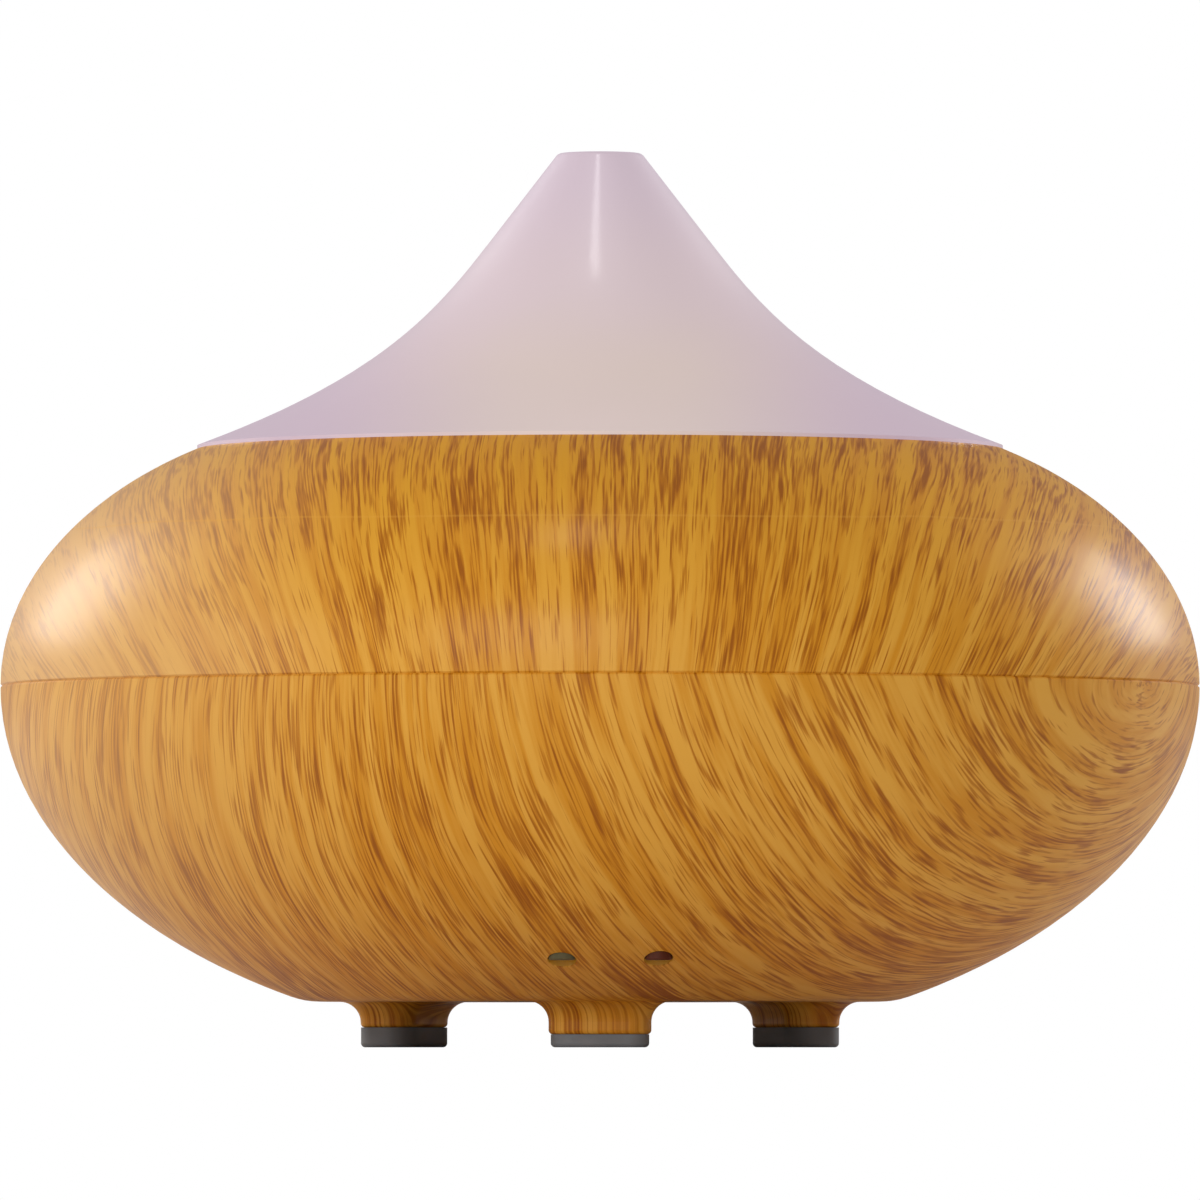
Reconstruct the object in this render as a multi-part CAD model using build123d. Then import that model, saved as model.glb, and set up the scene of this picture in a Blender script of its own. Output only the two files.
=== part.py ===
"""Cool mist humidifier: a squat round body in two wood-look shells, topped by a milky cone.

The cover (upper shell and cone) lifts off straight up. Under it a splash lid with a tall chimney sits
on a white water tank. Below the tank are a piezo disc that makes the mist, a fan, the light ring and
the electronics. Two buttons sit in holes under the front, and the power jack is at the back.

Frame: millimetres, +Z up, the table is Z = 0, the body's axis is Z, and the front faces -Y.
Every sub-part is written to parts/NAME.step.
"""

from build123d import *
import math
import os

# ---------------------------------------------------------------------------------------------
# Driving sizes
# ---------------------------------------------------------------------------------------------
# Body outline
body_radius = 84.0  # widest radius, at the seam
base_height = 6.4  # underside of the lower shell
seam_height = 50.6  # where the cover parts from the base
rim_height = 83.8  # flat land on top of the upper shell, where the cone sits
top_height = 125.4  # tip of the cone
shell_wall = 2.2
lower_core = 1.3  # radius at which the lower outline's quarter ellipse is centred
lower_spare = 6.3  # how far that ellipse would go on below the base
upper_core = 28.3
upper_spare = 5.3  # how far the upper ellipse would go on above the rim
base_round = 12.0  # rounding between the flat underside and the bowl
seam_chamfer = 0.25
clearance = 0.4  # loose fit between covers

# Cone
cone_wall = 1.8
cone_edge = 0.5  # height of the cone's upright outer edge
cone_straight_drop = 11.0  # height of the straight upper stretch below the tip
cone_steepness = 37.7  # angle of that stretch from the vertical, degrees
cone_foot_angle = 69.6  # angle of the flare from the vertical at the rim, degrees
cone_foot_pull = 0.562  # how far the flare holds its foot angle, as a share of its slanted length
cone_top_pull = 0.236  # how far it holds the upper stretch's angle, as the same share
tip_radius = 6.7
tip_round = 1.1
outlet_radius = 4.9
outlet_depth = 3.0  # length of its straight bore
outlet_round = 0.4
skirt_depth = 3.2  # locating ring under the cone
skirt_wall = 1.4
cone_boss_height = 6.0  # most that the screw bosses inside the cone rise above the rim
cone_screw_hold = 3.8  # depth of their screw holes

# Feet
foot_circle = 31.9
foot_width = 14.2  # across, along the circle
foot_depth = 8.6  # along the radius
foot_corner = 3.2
foot_flare = 2.9
foot_edge_round = 0.6
foot_angles = {"front": -90.0, "right": 30.0, "left": 150.0}
pad_thickness = {"front": 1.8, "right": 2.8, "left": 2.8}
pad_inset = {"front": 0.3, "right": 0.05, "left": 0.05}
pad_round = 0.6
pad_peg_radius = 2.0
pad_peg_height = 2.4
peg_clearance = 0.1

# Fasteners: shank radius, head radius, head height
small_screw = (0.9, 1.7, 1.0)
long_screw = (1.5, 2.8, 1.8)
screw_slot = 0.8  # width of the cross recess in a head
boss_wall = 1.5

# Base closure and vent
vent_thickness = 1.2
vent_ledge = 1.6  # width of the ledge that the cover seats on
vent_gap = 2.2  # width of one curved slot
vent_bar = 1.5  # plastic between two slots
vent_spokes = 6
vent_lug_reach = 6.2  # from the cover's edge to its screws
vent_lug_radius = 3.2
base_screw_gap = 0.7  # from the light ring to the bosses of the base screws
base_screw_angles = (90.0, 210.0, 330.0)

# Fan
fan_size = 40.0
fan_thickness = 10.0
fan_duct_wall = 1.0
fan_screw_inset = 4.0
fan_turn = 30.0  # the fan's square turned to face the main board
fan_corner = 3.0
fan_stand = 3.0  # height of the foam gasket under it
fan_blades = 7
fan_tip_gap = 0.8
fan_hub_radius = 11.0
fan_shaft_radius = 1.0
fan_running_gap = 0.03

# Tank
tank_wall = 1.8
chamber_height = 22.6  # from the base to the tank's underside
tank_inset = 20.0  # body radius less the tank's outer radius
tank_upright = 6.0  # upright wall between the tank's slope and its deck
tank_rim_rise = 11.5  # tank rim above the seam
deck_drop = 0.6  # deck below the seam
deck_inset = 1.0  # deck edge inside the shell's inner wall
deck_rib_rise = 2.4
deck_skirt = 5.0
tower_radius = 7.0
tower_circle = 36.5
tower_angle = 150.0
tower_rise = 4.5  # tower top above the seam
tower_cap_gap = 0.25

# Mist maker under the tank
piezo_radius = 10.0
piezo_thickness = 0.6
piezo_grip = 1.4  # how far the seal's lips reach over the disc
piezo_seal_wall = 2.0
piezo_seal_height = 2.8
piezo_disc_lift = 1.1  # disc above the seal's underside
piezo_plate_thickness = 1.2
piezo_screw_inset = 2.5  # from the seal to the clamp screws, and on to the boss's edge

# Light ring
light_ring_space = 3.0  # from the mist maker's boss to the board
light_ring_width = 8.0
light_ring_thickness = 1.0
light_ring_gap = 2.0  # from the board to the tank, where the lamps are
lamp_size = 3.5
lamp_height = 1.4

# Electronics
board_thickness = 1.6
main_board_stand = 5.0
main_board_half_length = 21.0
main_board_width = 18.6
main_board_gap = 1.5  # from the fan's side
button_radius = 1.85
button_hole_radius = 2.0
button_circle = 54.2  # distance in front of the body's axis
button_centre_x = 1.4
button_spacing = 13.2
button_recess = 0.15  # button face above the hole's middle
button_flange_radius = 3.0
button_flange = 0.8
button_guide = 3.6  # height of the guide above the hole's middle
button_travel = 0.5
switch_size = 6.0
switch_height = 3.5

# Power jack
jack_height = 24.5
jack_face_inset = 8.0  # jack face inside the shell's outer surface
jack_recess_radius = 6.0
jack_width = 9.0
jack_body_height = 11.0
jack_length = 14.0
jack_nose_radius = 4.0
jack_bore_radius = 2.8
jack_pin_radius = 1.05
jack_pin_length = 9.0
jack_floor = 2.0

# Splash lid
lid_wall = 1.5
lid_flange = 1.5
lid_plug = 3.0
lid_dome_rise = 8.0
chimney_foot_radius = 13.0
chimney_top_radius = 6.6
chimney_gap = 8.0  # from the chimney's top to the cone's tip

lead_radius = 1.1
lead_bend = 3.0
light_lead_bend = 1.25
switch_lead_rise = 3.6  # height of the switch lead over its board, where the tank leaves room

# ---------------------------------------------------------------------------------------------
# Places that follow from the sizes
# ---------------------------------------------------------------------------------------------
lower_drop = seam_height - base_height + lower_spare
upper_rise = rim_height - seam_height + upper_spare
floor_z = base_height + shell_wall
tank_bottom = base_height + chamber_height
tank_floor = tank_bottom + tank_wall
deck_top = seam_height - deck_drop
tank_radius = body_radius - tank_inset
tank_slope_top = deck_top - tank_upright
tank_rim = seam_height + tank_rim_rise
deck_radius = body_radius - shell_wall - deck_inset
fan_bottom = floor_z + fan_stand
fan_top = fan_bottom + fan_thickness
fan_duct_radius = fan_size / 2 - fan_duct_wall
fan_blade_radius = fan_duct_radius - fan_tip_gap
vent_radius = fan_duct_radius + vent_ledge
vent_lug_circle = vent_radius + vent_lug_reach
piezo_seal_radius = piezo_radius + piezo_seal_wall
piezo_window_radius = piezo_radius - piezo_grip
piezo_screw_circle = piezo_seal_radius + piezo_screw_inset
piezo_boss_radius = piezo_screw_circle + piezo_screw_inset
light_ring_inner = piezo_boss_radius + light_ring_space
light_ring_outer = light_ring_inner + light_ring_width
light_screw_circle = light_ring_inner + light_ring_width / 2
base_boss_radius = long_screw[1] + boss_wall
base_screw_circle = light_ring_outer + base_boss_radius + base_screw_gap
main_board_inner = fan_size / 2 + main_board_gap
main_board_bottom = floor_z + main_board_stand
main_board_top = main_board_bottom + board_thickness

BOTTOM = (Align.CENTER, Align.CENTER, Align.MIN)


def lower_radius(z, inset=0.0):
    """Radius of the lower shell's outline at height z, moved inwards by inset."""
    drop = (seam_height - z) / (lower_drop - inset)
    return lower_core + (body_radius - lower_core - inset) * math.sqrt(1 - drop**2)


def lower_height(radius, inset=0.0):
    """Height of the lower shell's outline at a radius, moved inwards by inset."""
    share = (radius - lower_core) / (body_radius - lower_core - inset)
    return seam_height - (lower_drop - inset) * math.sqrt(1 - share**2)


def upper_radius(z, inset=0.0):
    """Radius of the upper shell's outline at height z, moved inwards by inset."""
    rise = (z - seam_height) / (upper_rise - inset)
    return upper_core + (body_radius - upper_core - inset) * math.sqrt(1 - rise**2)


# ---------------------------------------------------------------------------------------------
# Helpers
# ---------------------------------------------------------------------------------------------
def turned(edges):
    """Solid turned about Z from a closed outline of edges drawn as (radius, height)."""
    return revolve(Plane.XZ * make_face(edges), Axis.Z)


def turned_polygon(*points):
    """Solid turned about Z from straight runs between (radius, height) points."""
    return turned(Polyline(*points, close=True))


def post(radius, bottom, top):
    """Upright cylinder on the Z axis."""
    return Pos(0, 0, bottom) * Cylinder(radius, top - bottom, align=BOTTOM)


def ring(outer, inner, bottom, top):
    """Upright ring on the Z axis."""
    return post(outer, bottom, top) - post(inner, bottom, top)


def polar(angle, radius=0.0, z=0.0):
    """Location at an angle and radius about Z, turned to face outwards."""
    return Rot(0, 0, angle) * Pos(radius, 0, z)


def group(shapes):
    """Several separate solids as one shape."""
    return Compound(children=[solid for shape in shapes for solid in shape.solids()])


def screw(kind, length):
    """Screw standing on its head at Z = 0 with its shank pointing up, and a cross recess in the head."""
    shank, head, head_height = kind
    body = post(head, -head_height, 0) + post(shank, -0.1, length)
    body = fillet(body.edges().filter_by(GeomType.CIRCLE).group_by(Axis.Z)[0], 0.3 * head_height)
    for turn in (0, 90):
        slot = Box(1.3 * head, screw_slot, 0.6 * head_height, align=BOTTOM)
        body -= Rot(0, 0, turn) * Pos(0, 0, -head_height) * slot
    return body


def top_screw(kind, length):
    """The same screw turned over, with its head on top."""
    return Rot(180, 0, 0) * screw(kind, length)


def rounded_block(width, depth, bottom, top, corner):
    """Upright block with rounded corners, its width along Y and its depth along X."""
    plan = RectangleRounded(depth, width, corner)
    return Pos(0, 0, bottom) * extrude(plan, top - bottom)


# ---------------------------------------------------------------------------------------------
# Lower shell, feet and pads
# ---------------------------------------------------------------------------------------------
def lower_bowl(inset, bottom):
    """Solid bowl inside the lower outline moved in by inset, cut flat at a bottom height."""
    reach = body_radius - lower_core - inset
    arc = EllipticalCenterArc((lower_core, seam_height), reach, lower_drop - inset, -90, arc_size=90)
    low = seam_height - lower_drop + inset
    outline = [
        arc,
        Line((lower_core + reach, seam_height), (0, seam_height)),
        Line((0, seam_height), (0, low)),
        Line((0, low), (lower_core, low)),
    ]
    return turned(outline) & post(2 * body_radius, bottom, seam_height)


def foot_stem(name):
    """One foot's wood-look stem, from its pad up into the shell's floor."""
    stem = rounded_block(foot_width, foot_depth, pad_thickness[name], floor_z - 0.5, foot_corner)
    return fillet(stem.edges().group_by(Axis.Z)[0], foot_edge_round)


def foot_hollow():
    """Pocket that cores the stem from inside, so that its wall is as thick as the shell's."""
    return rounded_block(
        foot_width - 2 * shell_wall,
        foot_depth - 2 * shell_wall,
        max(pad_thickness.values()) + pad_peg_height + shell_wall / 2,
        floor_z,
        foot_corner / 2,
    )


def place_foot(name, shape):
    return polar(foot_angles[name], foot_circle) * shape


def flared_outside():
    """The shell's outside as one solid: the bowl with its rounded base and three flared feet."""
    solid = lower_bowl(0, base_height)
    solid = fillet(solid.edges().group_by(Axis.Z)[0], base_round)
    for name in foot_angles:
        solid += place_foot(name, foot_stem(name))
    foot_reach = foot_circle + foot_depth / 2 + 0.1
    on_base = solid.edges().filter_by_position(Axis.Z, base_height - 0.01, base_height + 0.01)
    joints = [e for e in on_base if math.hypot(*tuple(e.center())[:2]) < foot_reach and e.length < 20]
    return fillet(joints, foot_flare)


def lower_shell():
    outside = flared_outside()
    shell = outside - lower_bowl(shell_wall, floor_z)
    shell = chamfer(seam_edge(shell, seam_height), seam_chamfer)
    for name in foot_angles:
        shell -= place_foot(name, foot_hollow())
        peg_top = pad_thickness[name] + pad_peg_height + peg_clearance
        shell -= place_foot(name, post(pad_peg_radius + peg_clearance, 0, peg_top))
    shell += inner_posts() & outside
    shell -= vent_opening()
    for x in (-vent_lug_circle, vent_lug_circle):
        shell -= Pos(x, 0, 0) * post(small_screw[0], base_height, vent_screw_top() + 0.3)
    for angle in base_screw_angles:
        shell -= polar(angle, base_screw_circle) * base_screw_well()
    for place in fan_screw_places():
        shell -= place * post(small_screw[0], base_height + vent_thickness, fan_bottom)
    for place in main_board_screw_places():
        shell -= place * post(small_screw[0], base_height + 3, main_board_bottom)
    for x in button_xs():
        top = button_guide_top()
        shell -= Pos(x, -button_circle, 0) * post(button_hole_radius, base_height, top)
        shell -= Pos(x, -button_circle, 0) * post(button_flange_radius + clearance, top, top + 4)
    for place in switch_board_screw_places():
        shell -= place * post(small_screw[0], switch_board_bottom() - 4.5, switch_board_bottom())
    for place in jack_screw_places():
        shell -= place * post(small_screw[0], jack_height - 5.5, jack_height)
    return shell - jack_opening()


def seam_edge(shell, height):
    """The outermost round edge of a shell at the seam."""
    edges = shell.edges().filter_by(GeomType.CIRCLE)
    return [e for e in edges if abs(e.center().Z - height) < 0.01 and e.radius > body_radius - 0.1]


def inner_posts():
    """Every boss and post that stands on the shell's floor, before the shell's outside trims it."""
    posts = [Pos(x, 0, 0) * post(small_screw[0] + boss_wall, base_height, vent_screw_top() + 1)
             for x in (-vent_lug_circle, vent_lug_circle)]
    posts += [polar(a, base_screw_circle) * post(base_boss_radius, base_height, base_boss_top())
              for a in base_screw_angles]
    posts += [p * post(small_screw[0] + boss_wall, base_height + vent_thickness, fan_bottom)
              for p in fan_screw_places()]
    posts += [p * post(small_screw[0] + boss_wall, base_height, main_board_bottom)
              for p in main_board_screw_places()]
    posts += [Pos(x, -button_circle, 0) * post(button_flange_radius + 0.8, base_height, button_guide_top())
              for x in button_xs()]
    posts += [p * post(small_screw[0] + boss_wall, base_height, switch_board_bottom())
              for p in switch_board_screw_places()]
    posts += [p * post(small_screw[0] + boss_wall, base_height, jack_height)
              for p in jack_screw_places()]
    posts.append(along_y(jack_recess_radius + shell_wall, jack_face() - jack_floor, body_radius))
    return Part() + posts


def foot_pad(name):
    """Rubber pad under one foot, with a peg that presses up into the stem."""
    thickness = pad_thickness[name]
    inset = pad_inset[name]
    pad = rounded_block(foot_width - 2 * inset, foot_depth - 2 * inset, 0, thickness, foot_corner - inset)
    pad = fillet(pad.edges().group_by(Axis.Z)[0], pad_round)
    return place_foot(name, pad + post(pad_peg_radius, thickness - 0.1, thickness + pad_peg_height))


# ---------------------------------------------------------------------------------------------
# Vent cover and the screws that close the base
# ---------------------------------------------------------------------------------------------
def vent_screw_top():
    return floor_z + 3.0


def base_boss_top():
    return base_height + 9.6


def base_screw_seat():
    """Height where a long screw's head bears, up its well."""
    return base_height + 4.0


def base_screw_well():
    well = post(long_screw[1] + 0.4, base_height - 1, base_screw_seat())
    return well + post(long_screw[0] + 0.2, base_height, base_boss_top())


def vent_plan(margin, bottom, top):
    """Round cover with two screw lugs, grown by a margin."""
    plan = post(vent_radius + margin, bottom, top)
    for x in (-vent_lug_circle, vent_lug_circle):
        plan += Pos(x, 0, 0) * post(vent_lug_radius + margin, bottom, top)
        bridge = Box(vent_lug_circle - vent_radius + 4, 2 * (vent_lug_radius + margin), top - bottom,
                     align=BOTTOM)
        plan += Pos(math.copysign((vent_lug_circle + vent_radius - 4) / 2, x), 0, bottom) * bridge
    return plan


def vent_opening():
    seat = vent_plan(clearance, base_height - 1, base_height + vent_thickness)
    return seat + post(fan_duct_radius - 0.2, base_height, floor_z)


def vent_cover():
    """Plastic grille with rings of curved slots between spokes."""
    low, high = base_height, base_height + vent_thickness
    cover = vent_plan(0, low, high)
    inner = 2.5
    while inner + vent_gap < fan_duct_radius - 0.2:
        cover -= ring(inner + vent_gap, inner, low, high)
        inner += vent_gap + vent_bar
    spokes = [polar(60 * i, 0, low) * Pos(vent_radius / 2, 0, 0)
              * Box(vent_radius - 1, vent_bar, vent_thickness, align=BOTTOM)
              for i in range(vent_spokes)]
    cover = cover + spokes
    for x in (-vent_lug_circle, vent_lug_circle):
        cover -= Pos(x, 0, 0) * post(small_screw[0] + 0.2, low, high)
        cover -= Pos(x, 0, 0) * post(small_screw[1] + 0.2, low, low + 0.5)
    return cover


def vent_screws():
    head_seat = base_height + 0.5
    length = vent_screw_top() - head_seat - 0.5
    flat = (small_screw[0], small_screw[1], 0.5)
    return group(Pos(x, 0, head_seat) * screw(flat, length) for x in (-vent_lug_circle, vent_lug_circle))


def base_screws():
    length = tank_bottom - 3.0 - base_screw_seat()
    return group(polar(a, base_screw_circle, base_screw_seat()) * screw(long_screw, length)
                 for a in base_screw_angles)


# ---------------------------------------------------------------------------------------------
# Fan
# ---------------------------------------------------------------------------------------------
def fan_screw_places():
    reach = math.hypot(1, 1) * (fan_size / 2 - fan_screw_inset)
    return [polar(fan_turn + a, reach) for a in (45, 135, 225, 315)]


def fan_block(bottom, top):
    """Square block with the fan's plan."""
    return Rot(0, 0, fan_turn) * rounded_block(fan_size, fan_size, bottom, top, fan_corner)


def fan_gasket():
    """Foam frame that seals the fan to the floor."""
    gasket = fan_block(floor_z, fan_bottom)
    gasket -= post(fan_duct_radius, floor_z, fan_bottom)
    for place in fan_screw_places():
        gasket -= place * post(small_screw[0] + boss_wall + 0.1, floor_z, fan_bottom)
    return gasket


def fan_bearing_bottom():
    return fan_bottom + 2.2


def fan_frame():
    """Square frame with a round duct, three struts on top and the bearing tube hanging from them."""
    frame = fan_block(fan_bottom, fan_top)
    frame -= post(fan_duct_radius, fan_bottom, fan_top)
    strut_height = 1.2
    for turn in (20, 140, 260):
        strut = Pos(fan_duct_radius / 2 + 1, 0, 0) * Box(fan_duct_radius, 2.4, strut_height, align=BOTTOM)
        frame += Rot(0, 0, turn) * Pos(0, 0, fan_top - strut_height) * strut
    frame += post(fan_hub_radius - 0.5, fan_top - strut_height, fan_top)
    frame += post(3.2, fan_bearing_bottom(), fan_top)
    frame -= post(2.2, fan_bearing_bottom(), fan_top - 0.6)
    for place in fan_screw_places():
        frame -= place * post(small_screw[0] + 0.2, fan_bottom, fan_top)
    return frame


def fan_bush():
    """Sintered bearing sleeve pressed into the frame's bearing tube."""
    bore = fan_shaft_radius + fan_running_gap
    return ring(2.2, bore, fan_bearing_bottom(), fan_top - 0.6)


def fan_stator():
    """Laminated core with four wound poles round the bearing tube."""
    low, high = fan_bearing_bottom() + 0.6, fan_top - 2.2
    core = ring(4.6, 3.2, low, high)
    for turn in range(0, 360, 90):
        arm = Rot(0, 0, turn) * Pos(5.6, 0, (low + high) / 2) * Box(3.4, 2.2, 1.6)
        shoe = ring(8.2, 7.2, low + 1, high - 1) & (Rot(0, 0, turn) * Pos(8, 0, low) * Box(
            4, 8.5, high - low, align=BOTTOM))
        coil = Rot(0, 0, turn) * Pos(5.8, 0, (low + high) / 2) * Box(2.0, 4.6, 3.6)
        core = core + arm + coil + shoe
    return core


def fan_magnet():
    """Ring magnet inside the rotor's cup."""
    return ring(fan_hub_radius - 0.8, fan_hub_radius - 2.2, fan_bottom + 1.7, fan_top - 2.4)


def fan_blade(turn):
    """One tilted blade from the hub out to the blade radius."""
    reach = fan_blade_radius - fan_hub_radius + 1.5
    height = fan_thickness - 3.2
    blade = Box(reach, 1.0, height / math.cos(math.radians(38)))
    middle = (fan_blade_radius + fan_hub_radius - 1.5) / 2
    return Rot(0, 0, turn) * Pos(middle, 0, fan_bottom + fan_thickness / 2 - 0.4) * Rot(38, 0, 0) * blade


def fan_rotor():
    """Cup with seven blades; the cup opens upwards over the stator."""
    low, high = fan_bottom + 0.5, fan_top - 2.0
    blades = Part() + [fan_blade(360 / fan_blades * i) for i in range(fan_blades)]
    blades = blades & ring(fan_blade_radius, fan_hub_radius - 0.4, low, high)
    cup = post(fan_hub_radius, low, high) - post(fan_hub_radius - 0.8, low + 1.2, high)
    return cup + blades - post(fan_shaft_radius, low, high)


def fan_shaft():
    return post(fan_shaft_radius, fan_bottom + 0.5, fan_top - 1.4)


def fan_screws():
    length = fan_thickness + fan_stand - 0.6
    return group(p * Pos(0, 0, fan_top) * top_screw(small_screw, length) for p in fan_screw_places())


# ---------------------------------------------------------------------------------------------
# Water tank, air tower, mist maker and light ring
# ---------------------------------------------------------------------------------------------
def tank_floor_radius():
    """The tank's floor stops short of the power jack."""
    return jack_face() - jack_floor - jack_length - 2.0


def tank_bowl(inset, bottom, top):
    return turned_polygon(
        (0, bottom),
        (tank_floor_radius() - 0.6 * inset, bottom),
        (tank_radius - inset, tank_slope_top),
        (tank_radius - inset, top),
        (0, top),
    )


def tower_place():
    return polar(tower_angle, tower_circle)


def tower_top():
    return seam_height + tower_rise


def piezo_screw_places():
    return [polar(a, piezo_screw_circle) for a in (30, 150, 270)]


def light_screw_places():
    return [polar(a, light_screw_circle) for a in (30, 150, 270)]


def water_tank():
    """White tank with a wide deck, a sealed mist window in its floor and an upright air tower."""
    tank = tank_bowl(0, tank_bottom, tank_rim)
    tank = fillet(tank.edges().filter_by(GeomType.CIRCLE).group_by(Axis.Z)[0], 3.0)
    hollow = tank_bowl(tank_wall, tank_floor, tank_rim)
    hollow = fillet(hollow.edges().filter_by(GeomType.CIRCLE).group_by(Axis.Z)[0], 2.4)
    tank += turned_polygon(
        (tank_radius - 1, deck_top - tank_wall),
        (deck_radius - tank_wall, deck_top - tank_wall),
        (deck_radius - tank_wall, deck_top - deck_skirt),
        (deck_radius, deck_top - deck_skirt),
        (deck_radius, deck_top + deck_rib_rise),
        (deck_radius - tank_wall, deck_top + deck_rib_rise),
        (deck_radius - tank_wall, deck_top),
        (tank_radius - 1, deck_top),
    )
    tank += post(piezo_boss_radius, piezo_seat(), tank_bottom + 1)
    tank += [polar(a, base_screw_circle) * post(base_boss_radius - 0.6, base_boss_top(), tank_bottom + 1)
             for a in base_screw_angles]
    tank += [p * post(2.2, tank_bottom - light_ring_gap, tank_bottom + 1) for p in light_screw_places()]
    tank -= hollow
    fill_line = seam_height - 2
    inner = tank_radius - tank_wall
    tank += ring(inner + 0.1, inner - 0.5, fill_line, fill_line + 0.7)
    tank += tower_place() * post(tower_radius, tank_bottom, tower_top())
    tank -= tower_place() * post(tower_radius - tank_wall, tank_bottom - 1, tower_top())
    tank -= post(piezo_window_radius + 0.2, tank_bottom - 1, tank_floor)
    tank -= post(piezo_seal_radius + 0.1, piezo_seat(), piezo_seat() + piezo_seal_height)
    for angle in base_screw_angles:
        tank -= polar(angle, base_screw_circle) * post(long_screw[0], base_boss_top(), tank_bottom - 1.5)
    for place in piezo_screw_places():
        tank -= place * post(small_screw[0], piezo_seat(), tank_bottom + 0.6)
    for place in light_screw_places():
        tank -= place * post(small_screw[0], tank_bottom - light_ring_gap, tank_bottom + 0.8)
    return tank


def piezo_seat():
    """Underside of the boss that holds the mist maker."""
    return tank_bottom - piezo_seal_height


def air_tower_cap():
    """Splash cap on the air tower: a closed top on three legs that grip the tower's mouth."""
    inner = tower_radius + tower_cap_gap
    top = tower_top() + 4.5
    cap = post(inner + 1.2, tower_top() - 3.5, top) - post(inner, tower_top() - 3.5, top - 1.2)
    cap = fillet(cap.edges().filter_by(GeomType.CIRCLE).group_by(Axis.Z)[-1], 1.0)
    for turn in (0, 60, 120):
        cap -= Rot(0, 0, turn) * Pos(0, 0, tower_top() + 0.2) * Box(4 * inner, 5.0, 2.6, align=BOTTOM)
    stop = ring(inner + 0.2, tower_radius - 1, tower_top(), tower_top() + 1.0)
    return tower_place() * (cap + stop)


def piezo_seal():
    """Silicone ring with a groove that grips the piezo disc's edge."""
    low = piezo_seat()
    seal = ring(piezo_seal_radius, piezo_window_radius, low, low + piezo_seal_height)
    disc_bottom = low + piezo_disc_lift
    return seal - post(piezo_radius, disc_bottom, disc_bottom + piezo_thickness)


def piezo_disc():
    low = piezo_seat() + piezo_disc_lift
    return post(piezo_radius, low, low + piezo_thickness)


def piezo_plate():
    """Steel ring that clamps the seal, held by three screws."""
    top = piezo_seat()
    plate = ring(piezo_boss_radius - 0.3, piezo_window_radius - 0.6, top - piezo_plate_thickness, top)
    for place in piezo_screw_places():
        plate -= place * post(small_screw[0] + 0.15, top - piezo_plate_thickness, top)
    return plate


def piezo_screws():
    seat = piezo_seat() - piezo_plate_thickness
    return group(p * Pos(0, 0, seat) * screw(small_screw, 4.2) for p in piezo_screw_places())


def light_board_top():
    return tank_bottom - light_ring_gap


def light_board():
    top = light_board_top()
    board = ring(light_ring_outer, light_ring_inner, top - light_ring_thickness, top)
    for place in light_screw_places():
        board -= place * post(small_screw[0] + 0.15, top - light_ring_thickness, top)
    return board


def light_screws():
    seat = light_board_top() - light_ring_thickness
    return group(p * Pos(0, 0, seat) * screw(small_screw, 3.4) for p in light_screw_places())


def lamps():
    """Six surface-mounted lamps facing up into the tank's floor."""
    lamp = rounded_block(lamp_size, lamp_size, 0, lamp_height, 0.3)
    lamp -= post(lamp_size * 0.38, lamp_height - 0.3, lamp_height)
    return group(polar(60 * i, light_screw_circle, light_board_top()) * lamp for i in range(6))


# ---------------------------------------------------------------------------------------------
# Main board
# ---------------------------------------------------------------------------------------------
def main_board_place(radial, along, z):
    """Place on the main board: radial from its inner edge, along its length from the middle."""
    return Rot(0, 0, fan_turn) * Pos(main_board_inner + radial, along, z)


def main_board_screw_places():
    corners = ((2.6, 18.4), (2.6, -18.4), (main_board_width - 2.6, 0))
    return [main_board_place(r, a, 0) for r, a in corners]


def main_board():
    plate = Box(main_board_width, 2 * main_board_half_length, board_thickness, align=BOTTOM)
    board = main_board_place(main_board_width / 2, 0, main_board_bottom) * plate
    for place in main_board_screw_places():
        board -= place * post(small_screw[0] + 0.15, main_board_bottom, main_board_top)
    return board


def main_board_screws():
    length = board_thickness + main_board_stand - 1.0
    return group(p * Pos(0, 0, main_board_top) * top_screw(small_screw, length)
                 for p in main_board_screw_places())


def drive_coil():
    """Drum inductor: two flanges and a wound waist."""
    coil = post(4.2, 0, 1.0) + post(3.4, 0.9, 4.7) + post(4.2, 4.6, 5.6)
    return main_board_place(5.9, 5.6, main_board_top) * coil


def capacitors():
    """Two upright electrolytic cans with a rubber foot groove."""
    def can(radius, height):
        body = post(radius, 0, height) - (ring(radius, radius - 0.3, 1.0, 1.8))
        return fillet(body.edges().filter_by(GeomType.CIRCLE).group_by(Axis.Z)[-1], 0.4)
    return group((
        main_board_place(5.2, -2.0, main_board_top) * can(3.1, 9.0),
        main_board_place(5.2, -8.4, main_board_top) * can(2.5, 7.0),
    ))


def heat_sink():
    """Small finned aluminium block that cools the drive transistor."""
    sink = Box(4.0, 12.0, 1.4, align=BOTTOM)
    for i in range(5):
        fin = Pos(0, -5.4 + 2.7 * i, 0) * Box(4.0, 1.2, 8.0, align=BOTTOM)
        sink += fin
    return main_board_place(13.4, -11.0, main_board_top + 1.8) * sink


def drive_transistor():
    return main_board_place(13.4, -11.0, main_board_top) * Box(4.0, 6.0, 1.8, align=BOTTOM)


def control_chip():
    """Small-outline chip with four legs on each side."""
    chip = Pos(0, 0, 0.2) * Box(3.9, 4.9, 1.4, align=BOTTOM)
    for i in range(4):
        chip += Pos(0, -1.9 + 1.27 * i, 0) * Box(6.0, 0.4, 0.3, align=BOTTOM)
    return main_board_place(13.2, 6.8, main_board_top) * chip


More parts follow.
